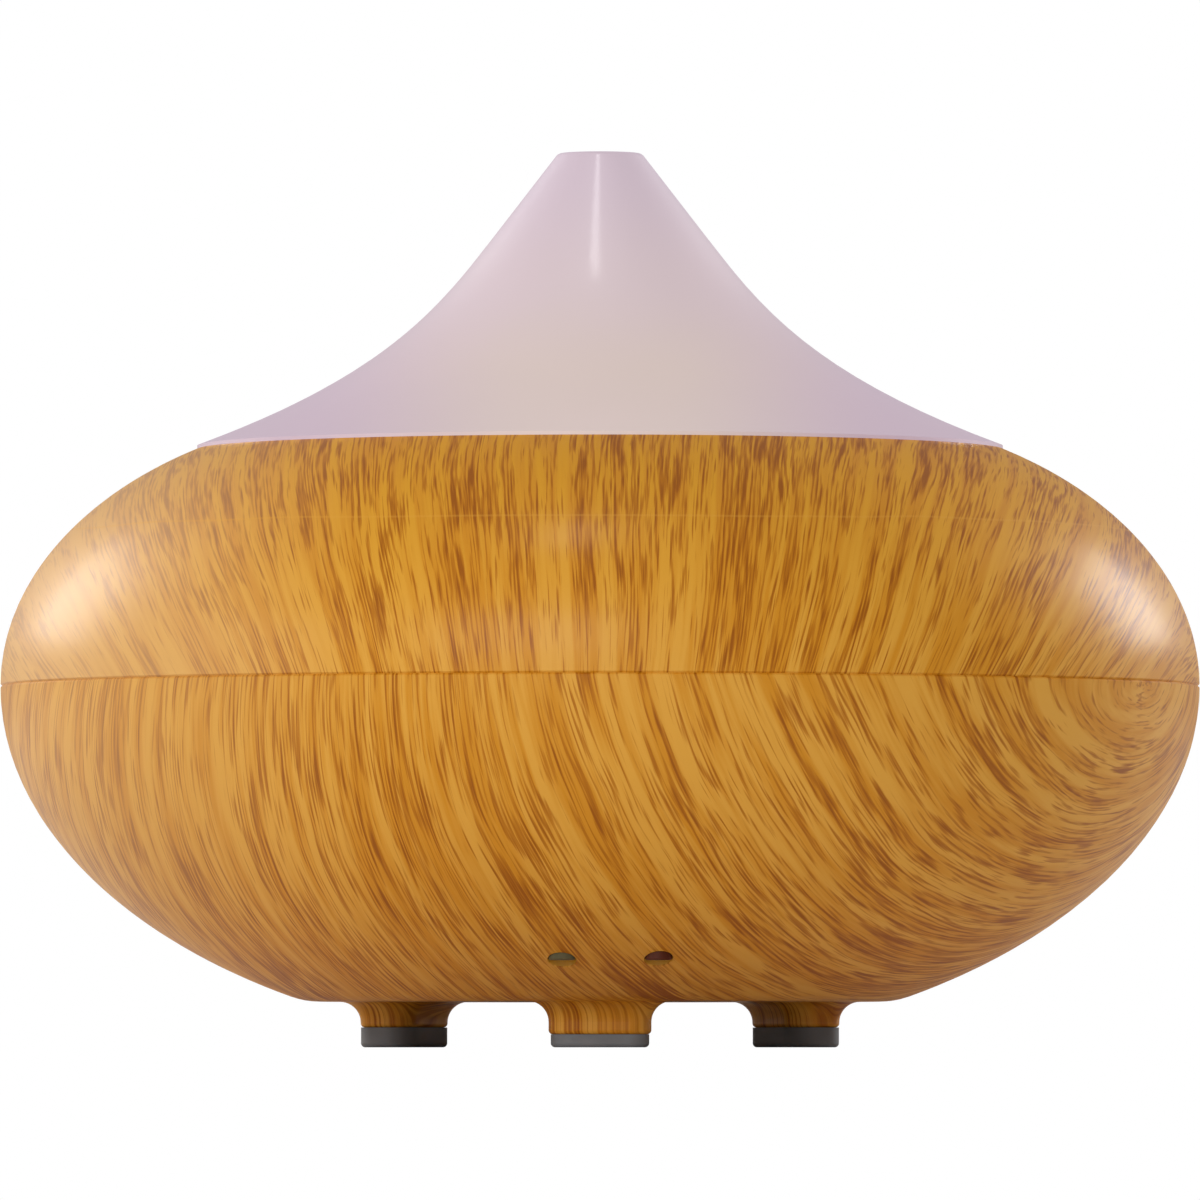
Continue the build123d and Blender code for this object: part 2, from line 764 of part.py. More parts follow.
# Each lead's socket on the main board: how far out from the inner edge, and how far along it
socket_places = {
    "fan": (3.0, -13.8),
    "switch": (8.4, -14.0),
    "light": (2.1, 12.4),
    "jack": (8.4, 14.2),
    "piezo": (13.4, 13.4),
}
socket_height = 5.0
socket_floor = 1.2


def plug_sockets():
    """White wire sockets, one for each lead."""
    socket = Box(4.0, 4.0, socket_height, align=BOTTOM)
    socket -= Pos(0, 0, socket_floor) * Box(2.8, 2.8, socket_height, align=BOTTOM)
    return group(main_board_place(*place, main_board_top) * socket for place in socket_places.values())


def in_socket(name, height=0.0):
    """Point above the floor of a lead's socket."""
    place = main_board_place(*socket_places[name], main_board_top + socket_floor + height)
    return tuple(place.position)


# ---------------------------------------------------------------------------------------------
# Buttons and their switches
# ---------------------------------------------------------------------------------------------
def button_xs():
    return (button_centre_x - button_spacing / 2, button_centre_x + button_spacing / 2)


def button_hole_height():
    """Height of the shell's outside at the middle of the button holes."""
    return lower_height(button_circle)


def button_guide_top():
    return button_hole_height() + button_guide


def switch_board_bottom():
    gap = 2 * button_travel
    return button_guide_top() + button_flange + gap + switch_height


def switch_board_screw_places():
    reach = button_spacing / 2 + 6.0
    return [Pos(button_centre_x + s * reach, -button_circle, 0) for s in (-1, 1)]


def button_cap(x):
    """Round stem in its guide hole, with a flange that stops it falling out."""
    low = button_hole_height() + button_recess
    top = button_guide_top()
    cap = post(button_radius, low, top + 0.1) + post(button_flange_radius, top, top + button_flange)
    cap = fillet(cap.edges().filter_by(GeomType.CIRCLE).group_by(Axis.Z)[0], 0.3)
    return Pos(x, -button_circle, 0) * cap


def switch_plunger(x):
    """Plunger of the tact switch, which rests on the button's flange."""
    low = button_guide_top() + button_flange
    return Pos(x, -button_circle, 0) * post(1.6, low, low + 2 * button_travel + 1.0)


def switch_body(x):
    """Tact switch hanging under the switch board, with a hole for its plunger."""
    low = switch_board_bottom() - switch_height
    body = rounded_block(switch_size, switch_size, low, switch_board_bottom(), 0.4)
    body -= post(1.6 + 0.1, low, low + 1.0 + button_travel + 0.3)
    return Pos(x, -button_circle, 0) * body


def switch_board():
    low = switch_board_bottom()
    plate = Box(button_spacing + 17.0, 8.0, board_thickness, align=BOTTOM)
    board = Pos(button_centre_x, -button_circle, low) * plate
    for place in switch_board_screw_places():
        board -= place * post(small_screw[0] + 0.15, low, low + board_thickness)
    return board


def switch_board_screws():
    top = switch_board_bottom() + board_thickness
    return group(p * Pos(0, 0, top) * top_screw(small_screw, 5.4) for p in switch_board_screw_places())


# ---------------------------------------------------------------------------------------------
# Power jack
# ---------------------------------------------------------------------------------------------
def jack_face():
    """Distance of the jack's front face behind the axis, with its lower corners clear of the wall."""
    corner = lower_radius(jack_height - jack_body_height / 2, shell_wall)
    reach = math.sqrt(corner ** 2 - (jack_width / 2) ** 2) - clearance
    return min(lower_radius(jack_height) - jack_face_inset, reach + jack_floor)


def along_y(radius, start, end):
    """Cylinder at the jack's height, along +Y."""
    return Pos(0, start, jack_height) * Rot(-90, 0, 0) * Cylinder(radius, end - start, align=BOTTOM)


def jack_opening():
    recess = along_y(jack_recess_radius, jack_face(), body_radius + 5)
    return recess + along_y(jack_nose_radius + 0.15, jack_face() - jack_floor - 1, jack_face() + 1)


def jack_screw_places():
    y = jack_face() - jack_floor - 5.0
    return [Pos(s * (jack_width / 2 + 4.6), y, 0) for s in (-1, 1)]


def power_jack():
    """Jack housing with a round nose in the shell and a bored hole for the plug."""
    back = jack_face() - jack_floor
    body = Pos(0, back - jack_length / 2, jack_height) * Box(jack_width, jack_length, jack_body_height)
    body += along_y(jack_nose_radius, back - 1, jack_face())
    return body - along_y(jack_bore_radius, jack_face() - jack_pin_length, jack_face())


def jack_pin():
    """Centre pin, standing on the floor of the jack's hole."""
    start = jack_face() - jack_pin_length
    pin = along_y(jack_pin_radius, start, jack_face() - 0.8)
    return fillet(pin.edges().filter_by(GeomType.CIRCLE).group_by(Axis.Y)[-1], 0.4)


def jack_bracket():
    """Saddle over the jack, screwed to two posts."""
    y = jack_face() - jack_floor - 5.0
    half = jack_width / 2
    top = jack_height + jack_body_height / 2
    saddle = Pos(0, y, jack_height) * Box(2 * half + 14.4, 5.6, 1.4, align=BOTTOM)
    saddle += Pos(0, y, jack_height) * Box(2 * half + 3.4, 5.6, jack_body_height / 2 + 1.4, align=BOTTOM)
    saddle -= Pos(0, y, jack_height - 1) * Box(2 * half + 0.2, 6.0, top - jack_height + 1.1, align=BOTTOM)
    for place in jack_screw_places():
        saddle -= place * post(small_screw[0] + 0.15, jack_height, top)
    return saddle


def jack_screws():
    seat = jack_height + 1.4
    return group(p * Pos(0, 0, seat) * top_screw(small_screw, 6.2) for p in jack_screw_places())


# ---------------------------------------------------------------------------------------------
# Leads between the boards
# ---------------------------------------------------------------------------------------------
def lead(points, bend):
    """Sleeved wire pair along straight runs joined by arcs."""
    route = FilletPolyline(*points, radius=bend)
    section = Plane(origin=route @ 0, z_dir=route % 0) * Circle(lead_radius)
    return sweep(section, route)


def fan_lead():
    """Short hoop from the fan's frame to the board beside it."""
    start = Rot(0, 0, fan_turn) * Pos(fan_size / 2 - 1.8, -13.2, fan_top)
    x, y, z = tuple(start.position)
    loop = fan_top + 2.6
    plug_x, plug_y, plug_z = in_socket("fan")
    return lead([(x, y, z), (x, y, loop), (plug_x, plug_y, loop), (plug_x, plug_y, plug_z)], 2.2)


def piezo_lead():
    """From the middle of the piezo disc, between the fan and the clamp, over the board."""
    x, y, z = 2.5, 3.7, piezo_seat() + piezo_disc_lift
    level = fan_top + 1.2
    plug_x, plug_y, plug_z = in_socket("piezo")
    return lead([(x, y, z), (x, y, level), (plug_x, plug_y, level), (plug_x, plug_y, plug_z)], 2.5)


def light_lead():
    """From its socket straight up, aside by an arc's width or more, and up to the light ring."""
    x, y, z = in_socket("light")
    ring_middle = (light_ring_inner + light_ring_outer) / 2
    share = ring_middle / math.hypot(x, y)
    under = light_board_top() - light_ring_thickness
    level = under - 2 * light_lead_bend
    return lead([(x, y, z), (x, y, level), (x * share, y * share, level), (x * share, y * share, under)],
                light_lead_bend)


def jack_lead():
    start = (2.5, jack_face() - jack_floor - jack_length, jack_height - 2.5)
    x, y, z = start
    level = z + 5.0
    plug_x, plug_y, plug_z = in_socket("jack")
    return lead([start, (x, y - 6.2, z), (x + 8, y - 12.2, level), (plug_x, plug_y, level),
                 (plug_x, plug_y, plug_z)], lead_bend)


def switch_lead():
    """From the switch board, round the outside of a base screw's boss, to the main board."""
    x, y, z = button_centre_x + 8.6, -button_circle + 2.2, switch_board_bottom() + board_thickness
    rise = min(switch_lead_rise, tank_bottom - clearance - lead_radius - z)
    level = z + rise
    bend = min(lead_bend, rise - 0.2)
    boss_x, boss_y = base_screw_circle * math.cos(math.pi / 6), -base_screw_circle / 2
    outside = boss_x + base_boss_radius + lead_radius + 2.0
    plug_x, plug_y, plug_z = in_socket("switch")
    return lead([(x, y, z), (x, y, level), (outside, boss_y - 7.0, level), (outside, boss_y + 11.0, level),
                 (plug_x, plug_y, level), (plug_x, plug_y, plug_z)], bend)


# ---------------------------------------------------------------------------------------------
# Splash lid
# ---------------------------------------------------------------------------------------------
def splash_lid():
    """Lid that rests on the tank's rim, domed up to a tapering chimney."""
    plug_outer = tank_radius - tank_wall - clearance
    dome_top = tank_rim + lid_flange + lid_dome_rise
    chimney_top = top_height - chimney_gap
    lid = turned_polygon(
        (chimney_top_radius - lid_wall, chimney_top),
        (chimney_foot_radius - lid_wall, dome_top - lid_wall),
        (plug_outer - lid_wall, tank_rim),
        (plug_outer - lid_wall, tank_rim - lid_plug),
        (plug_outer, tank_rim - lid_plug),
        (plug_outer, tank_rim),
        (tank_radius + 0.6, tank_rim),
        (tank_radius + 0.6, tank_rim + lid_flange),
        (plug_outer - lid_wall, tank_rim + lid_flange),
        (chimney_foot_radius, dome_top),
        (chimney_top_radius, chimney_top),
    )
    round_edges = lid.edges().filter_by(GeomType.CIRCLE)
    foot = [e for e in round_edges if abs(e.radius - chimney_foot_radius) < 0.01]
    return fillet(foot, 5.0)


# ---------------------------------------------------------------------------------------------
# Cover: upper shell, cone and the ring that joins them
# ---------------------------------------------------------------------------------------------
def upper_dome(inset, top):
    """Solid dome inside the upper outline moved in by inset, cut flat at a top height."""
    reach = body_radius - upper_core - inset
    arc = EllipticalCenterArc((upper_core, seam_height), reach, upper_rise - inset, 0, arc_size=90)
    high = seam_height + upper_rise - inset
    outline = [
        arc,
        Line((upper_core, high), (0, high)),
        Line((0, high), (0, seam_height)),
        Line((0, seam_height), (upper_core + reach, seam_height)),
    ]
    return turned(outline) & post(2 * body_radius, seam_height, top)


def cone_radius():
    return upper_radius(rim_height)


def flange_bottom():
    """Underside of the upper shell's inward flange, where the retaining ring bears."""
    return rim_height - skirt_depth


def upper_shell():
    shell = upper_dome(0, rim_height)
    hollow = upper_dome(shell_wall, flange_bottom())
    opening = post(cone_radius() - skirt_wall + 0.2, flange_bottom() - 1, rim_height)
    shell = shell - hollow - opening
    return chamfer(seam_edge(shell, seam_height), seam_chamfer)


def cone_outline(inset):
    """The cone's flare and the top of its straight stretch, moved in by inset."""
    steep = math.radians(cone_steepness)
    shallow = math.radians(cone_foot_angle)
    up_steep = Vector(-math.sin(steep), math.cos(steep))
    up_shallow = Vector(-math.sin(shallow), math.cos(shallow))
    tip = Vector(tip_radius, top_height - tip_round) - Vector(math.cos(steep), math.sin(steep)) * inset
    foot = Vector(cone_radius(), rim_height + cone_edge)
    foot -= Vector(math.cos(shallow), math.sin(shallow)) * inset
    run_top = tip - up_steep * (cone_straight_drop / math.cos(steep))
    span = (run_top - foot).length
    flare = Bezier(foot, foot + up_shallow * (cone_foot_pull * span),
                   run_top - up_steep * (cone_top_pull * span), run_top)
    return flare, tip


def cone_solid(inset, bottom, top):
    """Solid inside the cone's face moved in by inset, between two heights."""
    flare, tip = cone_outline(inset)
    slope = math.tan(math.radians(cone_steepness))
    peak = (tip.X - (top - tip.Y) * slope, top)
    foot = flare @ 0
    outline = [
        flare,
        Line(flare @ 1, peak),
        Line(peak, (0, top)),
        Line((0, top), (0, bottom)),
        Line((0, bottom), (foot.X, bottom)),
        Line((foot.X, bottom), foot),
    ]
    return turned(outline)


def retainer_screw_places():
    return [polar(a, retainer_circle()) for a in (45, 135, 225, 315)]


def retainer_circle():
    return cone_radius() - skirt_wall - 0.1 - small_screw[0] - boss_wall


def mist_cone():
    """Milky cone with an open tip, a rim that sits on the shell and a locating ring below."""
    bottom = flange_bottom()
    cone = cone_solid(0, rim_height, top_height)
    tip_edge = cone.edges().filter_by(GeomType.CIRCLE).group_by(Axis.Z)[-1]
    cone = fillet(tip_edge, tip_round)
    cone -= cone_solid(cone_wall, bottom, outlet_floor())
    outer = cone_radius() - skirt_wall
    skirt = ring(outer, outer - skirt_wall, bottom, rim_height + cone_wall)
    cone += skirt & cone_below()
    for place in retainer_screw_places():
        boss = place * post(small_screw[0] + boss_wall, bottom, rim_height + cone_boss_height)
        cone += boss & cone_below()
        cone -= place * post(small_screw[0], bottom, bottom + cone_screw_hold)
    cone -= post(outlet_radius, outlet_floor() - cone_wall, top_height)
    inner_edge = [e for e in cone.edges().filter_by(GeomType.CIRCLE)
                  if abs(e.radius - outlet_radius) < 0.01 and e.center().Z > top_height - 0.1]
    return fillet(inner_edge, outlet_round)


def outlet_floor():
    """Where the cone's hollow stops and the straight outlet bore begins."""
    return top_height - outlet_depth


def cone_below():
    """Everything under the middle of the cone's wall, which trims the bosses inside it."""
    return cone_solid(cone_wall / 2, flange_bottom() - 1, outlet_floor())


def cone_retainer():
    """Ring under the shell's flange that the cone is screwed to."""
    top = flange_bottom()
    outer = upper_radius(top, shell_wall) - 0.6
    plate = ring(outer, retainer_circle() - 3.2, top - 2.2, top)
    for place in retainer_screw_places():
        plate -= place * post(small_screw[0] + 0.15, top - 2.2, top)
    return plate


def retainer_screws():
    seat = flange_bottom() - 2.2
    return group(p * Pos(0, 0, seat) * screw(small_screw, 5.4) for p in retainer_screw_places())


# ---------------------------------------------------------------------------------------------
# Write every sub-part
# ---------------------------------------------------------------------------------------------
left_x, right_x = button_xs()
parts = {
    "lower_shell": lower_shell(),
    "foot_pad_front": foot_pad("front"),
    "foot_pad_left": foot_pad("left"),
    "foot_pad_right": foot_pad("right"),
    "vent_cover": vent_cover(),
    "vent_screws": vent_screws(),
    "base_screws": base_screws(),
    "fan_gasket": fan_gasket(),
    "fan_frame": fan_frame(),
    "fan_bush": fan_bush(),
    "fan_stator": fan_stator(),
    "fan_rotor": fan_rotor(),
    "fan_magnet": fan_magnet(),
    "fan_shaft": fan_shaft(),
    "fan_screws": fan_screws(),
    "water_tank": water_tank(),
    "air_tower_cap": air_tower_cap(),
    "piezo_seal": piezo_seal(),
    "piezo_disc": piezo_disc(),
    "piezo_plate": piezo_plate(),
    "piezo_screws": piezo_screws(),
    "light_board": light_board(),
    "light_screws": light_screws(),
    "lamps": lamps(),
    "main_board": main_board(),
    "main_board_screws": main_board_screws(),
    "drive_coil": drive_coil(),
    "capacitors": capacitors(),
    "heat_sink": heat_sink(),
    "drive_transistor": drive_transistor(),
    "control_chip": control_chip(),
    "plug_sockets": plug_sockets(),
    "mist_button": button_cap(left_x),
    "light_button": button_cap(right_x),
    "mist_switch_plunger": switch_plunger(left_x),
    "light_switch_plunger": switch_plunger(right_x),
    "mist_switch": switch_body(left_x),
    "light_switch": switch_body(right_x),
    "switch_board": switch_board(),
    "switch_board_screws": switch_board_screws(),
    "power_jack": power_jack(),
    "jack_pin": jack_pin(),
    "jack_bracket": jack_bracket(),
    "jack_screws": jack_screws(),
    "fan_lead": fan_lead(),
    "piezo_lead": piezo_lead(),
    "light_lead": light_lead(),
    "jack_lead": jack_lead(),
    "switch_lead": switch_lead(),
    "splash_lid": splash_lid(),
    "upper_shell": upper_shell(),
    "mist_cone": mist_cone(),
    "cone_retainer": cone_retainer(),
    "retainer_screws": retainer_screws(),
}

os.makedirs("parts", exist_ok=True)
for name, shape in parts.items():
    export_step(shape, f"parts/{name}.step")
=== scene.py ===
"""Looks for the cool mist humidifier: a wood-look body with a milky, lit cone."""

import math

import bpy
import numpy as np
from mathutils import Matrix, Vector


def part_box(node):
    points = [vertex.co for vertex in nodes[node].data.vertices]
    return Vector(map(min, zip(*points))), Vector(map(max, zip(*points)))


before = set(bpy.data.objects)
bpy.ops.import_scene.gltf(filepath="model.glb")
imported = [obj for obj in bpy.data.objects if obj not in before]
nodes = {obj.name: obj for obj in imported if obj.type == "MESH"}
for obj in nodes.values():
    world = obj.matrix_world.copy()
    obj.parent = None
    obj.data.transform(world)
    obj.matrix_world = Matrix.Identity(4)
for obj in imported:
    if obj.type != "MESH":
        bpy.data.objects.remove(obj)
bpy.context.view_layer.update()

# ------------------------------------------------------------------------------------------
# The table, the room and the camera.
# A white table seen from its own level, with a long lens that sits a little over two metres
# in front of the humidifier. Sizes and places here are in metres.
camera_distance = 2.276
camera_height = 0.0
view_width = 0.16826  # width of the picture at the humidifier's axis
view_middle = 0.0627  # height of the picture's centre there
floor_radius = 1.0
far_clip = 50

scene = bpy.context.scene
scene.view_settings.view_transform = "Standard"

camera_data = bpy.data.cameras.new("camera")
camera = bpy.data.objects.new("camera", camera_data)
scene.collection.objects.link(camera)
camera.location = (0, -camera_distance, camera_height)
aim = Vector((0, 0, view_middle)) - camera.location
camera.rotation_euler = aim.to_track_quat("-Z", "Y").to_euler()
camera_data.lens = camera_data.sensor_width * aim.length / view_width
camera_data.clip_end = far_clip
scene.camera = camera


def socket_of(tree, kind, feeds=(), out=0, **settings):
    """Adds a shader node with its settings, feeds its inputs by order or name, and returns one of
    its outputs."""
    made = tree.nodes.new("ShaderNode" + kind)
    for key, value in settings.items():
        setattr(made, key, value)
    for name, feed in feeds.items() if isinstance(feeds, dict) else enumerate(feeds):
        if isinstance(feed, bpy.types.NodeSocket):
            tree.links.new(feed, made.inputs[name])
        elif feed is not None:
            made.inputs[name].default_value = feed
    return made.outputs[out]


def calc(tree, operation, *feeds):
    """One sum on numbers."""
    return socket_of(tree, "Math", feeds, operation=operation)


def start_material(name):
    """A new material with its Principled shader, and its node tree."""
    material = bpy.data.materials.new(name)
    material.use_nodes = True
    return material, material.node_tree, material.node_tree.nodes["Principled BSDF"]


def set_shader(shader, **values):
    """Sets the shader's own sockets by name, with underscores for spaces."""
    for key, value in values.items():
        shader.inputs[key.replace("_", " ")].default_value = value


def wear(obj, material):
    """Puts one material on an object."""
    obj.data.materials.clear()
    obj.data.materials.append(material)


def dress(material, *names):
    """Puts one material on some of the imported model's nodes."""
    for name in names:
        wear(nodes[name], material)


def table_top():
    """A flat disc at Z = 0: one face whose corners are evenly spaced round a circle."""
    corners = 96
    turn = np.linspace(0, 2 * math.pi, corners, endpoint=False)
    rim = np.stack((np.cos(turn), np.sin(turn), 0 * turn), axis=1) * floor_radius
    mesh = bpy.data.meshes.new("table_top")
    mesh.from_pydata(rim.tolist(), [], [tuple(range(len(rim)))])
    obj = bpy.data.objects.new("table_top", mesh)
    scene.collection.objects.link(obj)
    material, _, shader = start_material("table_white")
    set_shader(shader, Base_Color=(0.86, 0.86, 0.86, 1), Roughness=0.7)
    wear(obj, material)


table_top()

world = bpy.data.worlds.new("room")
scene.world = world
world.use_nodes = True
room_tree = world.node_tree
room_tree.nodes.clear()
seen_white = (1, 1, 1, 1)
room_light = (1.0, 0.98, 0.97, 1)
room_strength = 0.36
is_seen = socket_of(room_tree, "LightPath", out="Is Camera Ray")
seen = socket_of(room_tree, "Background", (seen_white, 1.0))
around = socket_of(room_tree, "Background", (room_light, room_strength))
either = socket_of(room_tree, "MixShader", (is_seen, around, seen))
room_output = room_tree.nodes.new("ShaderNodeOutputWorld")
room_tree.links.new(either, room_output.inputs[0])


def soft_box(name, place, size, power):
    """A rectangular white lamp that faces the humidifier's middle, with its power in watts."""
    lamp = bpy.data.lights.new(name, "AREA")
    lamp.shape = "RECTANGLE"
    lamp.size, lamp.size_y = size
    lamp.energy = power
    obj = bpy.data.objects.new(name, lamp)
    obj.location = place
    towards = Vector((0, 0, view_middle)) - Vector(place)
    obj.rotation_euler = towards.to_track_quat("-Z", "Y").to_euler()
    scene.collection.objects.link(obj)


soft_box("front_light", (-0.45, -1.8, 0.8), (1.2, 0.9), 14.4)
soft_box("low_light", (0, -1.7, 0.12), (1.2, 0.2), 0.6)
soft_box("left_light", (-0.86, 0.72, 0.47), (0.5, 0.44), 5.4)
soft_box("left_fill", (-1.15, -0.4, 0.35), (0.8, 0.6), 2.6)
soft_box("right_light", (0.86, 0.74, 0.44), (0.44, 0.40), 6.0)
soft_box("streak_light", (-0.06, -0.25, 1.05), (0.08, 0.25), 0.8)

# ------------------------------------------------------------------------------------------
# Lower shell.
# A moulded bowl in amber resin with its three feet, printed by dipping it into a floating film of
# wood grain. The film meets the flat underside first and is drawn up the sides, so each grain line
# is stretched over the bowl. A satin lacquer lies over it.
film_dark = (0.28, 0.070, 0.0, 1)
film_brown = (0.43, 0.135, 0.001, 1)
film_gold = (0.63, 0.255, 0.012, 1)
film_straw = (0.73, 0.355, 0.045, 1)
# Painted highlight: the paler, greyer colour that the film turns to towards the left, for the sheen
# of the lamps on that side.
painted_sheen_colour = (0.74, 0.47, 0.22, 1)
bare_resin = (0.58, 0.28, 0.025, 1)
mm_per_metre = 1000.0
seam_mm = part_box("lower_shell")[1].z * mm_per_metre
body_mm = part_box("lower_shell")[1].x * mm_per_metre


def mm_vector(tree):
    """The point's own coordinates in mm, from metres."""
    own = socket_of(tree, "TexCoord", out="Object")
    return socket_of(tree, "VectorMath", {"Vector": own, "Scale": mm_per_metre},
                     operation="SCALE")


def place_in_mm(tree):
    """The point's X, Y and Z and its distance from the axis, in mm."""
    xyz = tree.nodes.new("ShaderNodeSeparateXYZ")
    tree.links.new(mm_vector(tree), xyz.inputs[0])
    x, y, z = xyz.outputs
    square = calc(tree, "ADD", calc(tree, "MULTIPLY", x, x), calc(tree, "MULTIPLY", y, y))
    return x, y, z, calc(tree, "MAXIMUM", calc(tree, "SQRT", square), 1.0)


def film_place(tree, z_flat, z_edge, drawn, power):
    """Place on the flat film, in mm: the point's own direction from the axis, at its radius plus
    the length that the side adds, which is drawn * t ** power for t from 0 at z_flat to 1 at
    z_edge."""
    x, y, z, radius = place_in_mm(tree)
    share = socket_of(tree, "MapRange", (z, z_flat, z_edge, 0.0, 1.0))
    added = calc(tree, "MULTIPLY", calc(tree, "POWER", share, power), drawn)
    stretch = calc(tree, "ADD", calc(tree, "DIVIDE", added, radius), 1.0)
    return (calc(tree, "MULTIPLY", x, stretch),
            calc(tree, "MULTIPLY", y, calc(tree, "MULTIPLY", stretch, -1.0)))


def straight_grain(tree, film_x, film_y):
    """Grain whose lines all run from front to back of the film."""
    return film_x, film_y


def ring_grain(tree, film_x, film_y):
    """Grain that runs round a knot near the edge of the film in long ellipses. Across is the
    ellipse's half width; along is about the length round it, from the angle and its double's
    sine."""
    knot_x, knot_y = 92.9, 46.7
    lean = math.radians(33)
    squash = 0.13  # square of an ellipse's width over its length
    heart = 8.0  # keeps the grain from closing up at the knot's middle
    x = calc(tree, "SUBTRACT", film_x, knot_x)
    y = calc(tree, "SUBTRACT", film_y, knot_y)
    a = calc(tree, "ADD", calc(tree, "MULTIPLY", x, math.cos(lean)),
             calc(tree, "MULTIPLY", y, math.sin(lean)))
    b = calc(tree, "SUBTRACT", calc(tree, "MULTIPLY", x, math.sin(lean)),
             calc(tree, "MULTIPLY", y, math.cos(lean)))
    b = calc(tree, "MULTIPLY", b, math.sqrt(squash))
    across = calc(tree, "SQRT", calc(tree, "ADD", calc(tree, "MULTIPLY", a, a),
                                     calc(tree, "MULTIPLY", b, b)))
    angle = calc(tree, "ARCTAN2", b, calc(tree, "MULTIPLY", a, -1.0))
    half = (1 / math.sqrt(squash) - 1) / 2
    twice = calc(tree, "MULTIPLY", angle, 2.0)
    bulge = calc(tree, "MULTIPLY", calc(tree, "SINE", twice), half / 2)
    turned = calc(tree, "ADD", calc(tree, "MULTIPLY", angle, 1 + half), bulge)
    return across, calc(tree, "MULTIPLY", turned, calc(tree, "ADD", across, heart))


def streaks(tree, across, along, width, length, seed, detail=2.0, rough=0.5):
    """Noise drawn out along the grain, about 0 to 1, whose streaks have a width and length in
    mm."""
    place = socket_of(tree, "CombineXYZ", (
        calc(tree, "DIVIDE", across, width), calc(tree, "DIVIDE", along, length), seed))
    return socket_of(tree, "TexNoise", {"Vector": place, "Scale": 1.0, "Detail": detail,
                                        "Roughness": rough}, noise_dimensions="3D")


def ramp(tree, value, low, high, to_low=0.0, to_high=1.0):
    """Smooth step of a value between two levels."""
    return socket_of(tree, "MapRange", (value, low, high, to_low, to_high),
                     interpolation_type="SMOOTHSTEP")


def blend_colour(tree, share, first, second):
    """Mix of two colours. The Mix node has its colours at inputs 6 and 7 and at output 2."""
    made = tree.nodes.new("ShaderNodeMix")
    made.data_type = "RGBA"
    for index, feed in ((0, share), (6, first), (7, second)):
        if isinstance(feed, bpy.types.NodeSocket):
            tree.links.new(feed, made.inputs[index])
        else:
            made.inputs[index].default_value = feed
    return made.outputs[2]


strand_width = 0.42
fibre_width = 0.22
ring_spacing = 0.95
# Where the painted highlight on the left side starts and where it is full, as X in mm.
painted_sheen_starts, painted_sheen_ends = -28.0, -78.0
film_depth = 0.3  # how far the print reaches over an edge into a hole or a seam
mark_half = 0.22  # half the width of the pale line on the upper shell


